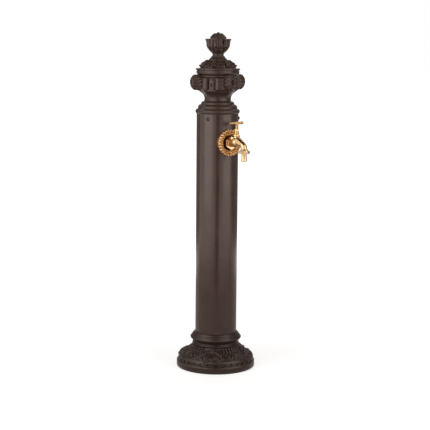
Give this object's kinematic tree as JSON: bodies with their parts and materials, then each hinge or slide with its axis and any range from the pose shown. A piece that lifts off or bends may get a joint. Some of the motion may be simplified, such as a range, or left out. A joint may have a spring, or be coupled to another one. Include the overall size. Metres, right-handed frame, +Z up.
{
  "type": "garden standpipe",
  "caption": "Cast garden standpipe: round column on a flared ornamental foot, crowned head with a bud finial, brass bib tap with a T handle and a hose union.",
  "frame": {"origin": "middle of the foot on the ground, on the column's axis", "axes": "+Z up along the column, the tap points along -Y, +X to the right of someone who faces the tap from behind the column"},
  "size_m": [0.205, 0.24, 0.87],
  "materials": {
    "brown_enamel": "satin dark brown enamel over cast metal",
    "tap_brass": "polished",
    "antique_brass": "cast and rubbed",
    "dark_steel": "browned steel screws",
    "zinc_steel": "zinc plated",
    "rubber": "matt",
    "fibre": "sealing ring"
  },
  "bodies": {
    "standpipe": {"base_casting": "brown_enamel", "column_tube": "brown_enamel", "tube_foot_plate": "brown_enamel", "foot_bolts": "zinc_steel", "inlet_fitting": "tap_brass", "inlet_locknut": "tap_brass", "riser_pipe": "zinc_steel", "tap_elbow": "tap_brass", "head_casting": "brown_enamel", "head_screws": "dark_steel", "dome_casting": "brown_enamel", "finial_casting": "brown_enamel", "finial_stud": "zinc_steel", "finial_washer": "zinc_steel", "finial_nut": "zinc_steel", "tap_rosette": "antique_brass", "inner_saddle": "tap_brass", "tap_backnut": "tap_brass", "tap_body": "tap_brass", "bonnet_gasket": "fibre", "bonnet": "tap_brass", "gland_packing": "fibre", "gland_nut": "tap_brass"},
    "jumper": {"jumper_valve": "tap_brass", "jumper_washer": "rubber", "jumper_nut": "tap_brass"},
    "handle": {"spindle": "tap_brass", "t_handle": "tap_brass", "handle_screw": "tap_brass"},
    "tail": {"hose_tail": "tap_brass", "hose_washer": "rubber"},
    "union": {"union_nut": "tap_brass"}
  },
  "joints": [
    {"name": "valve_lift", "type": "slide", "parent": "standpipe", "child": "jumper", "axis": [0, 0, 1], "range_m": [0, 0.0045]},
    {"name": "handle_turn", "type": "hinge", "parent": "jumper", "child": "handle", "pos_m": [0, -0.088, 0.6445], "axis": [0, 0, 1], "range_deg": [0, 720]},
    {"name": "tail_drop", "type": "slide", "parent": "standpipe", "child": "tail", "axis": [0, 0, -1], "range_m": [0, 0.00272]},
    {"name": "union_turn", "type": "hinge", "parent": "tail", "child": "union", "pos_m": [0, -0.12272, 0.5738], "axis": [0, 0, -1], "range_deg": [0, 540]}
  ],
  "couplings": [
    {"joint": "handle_turn", "follows": "valve_lift", "rad_per_m": 2792.5},
    {"joint": "union_turn", "follows": "tail_drop", "rad_per_m": 3465}
  ]
}
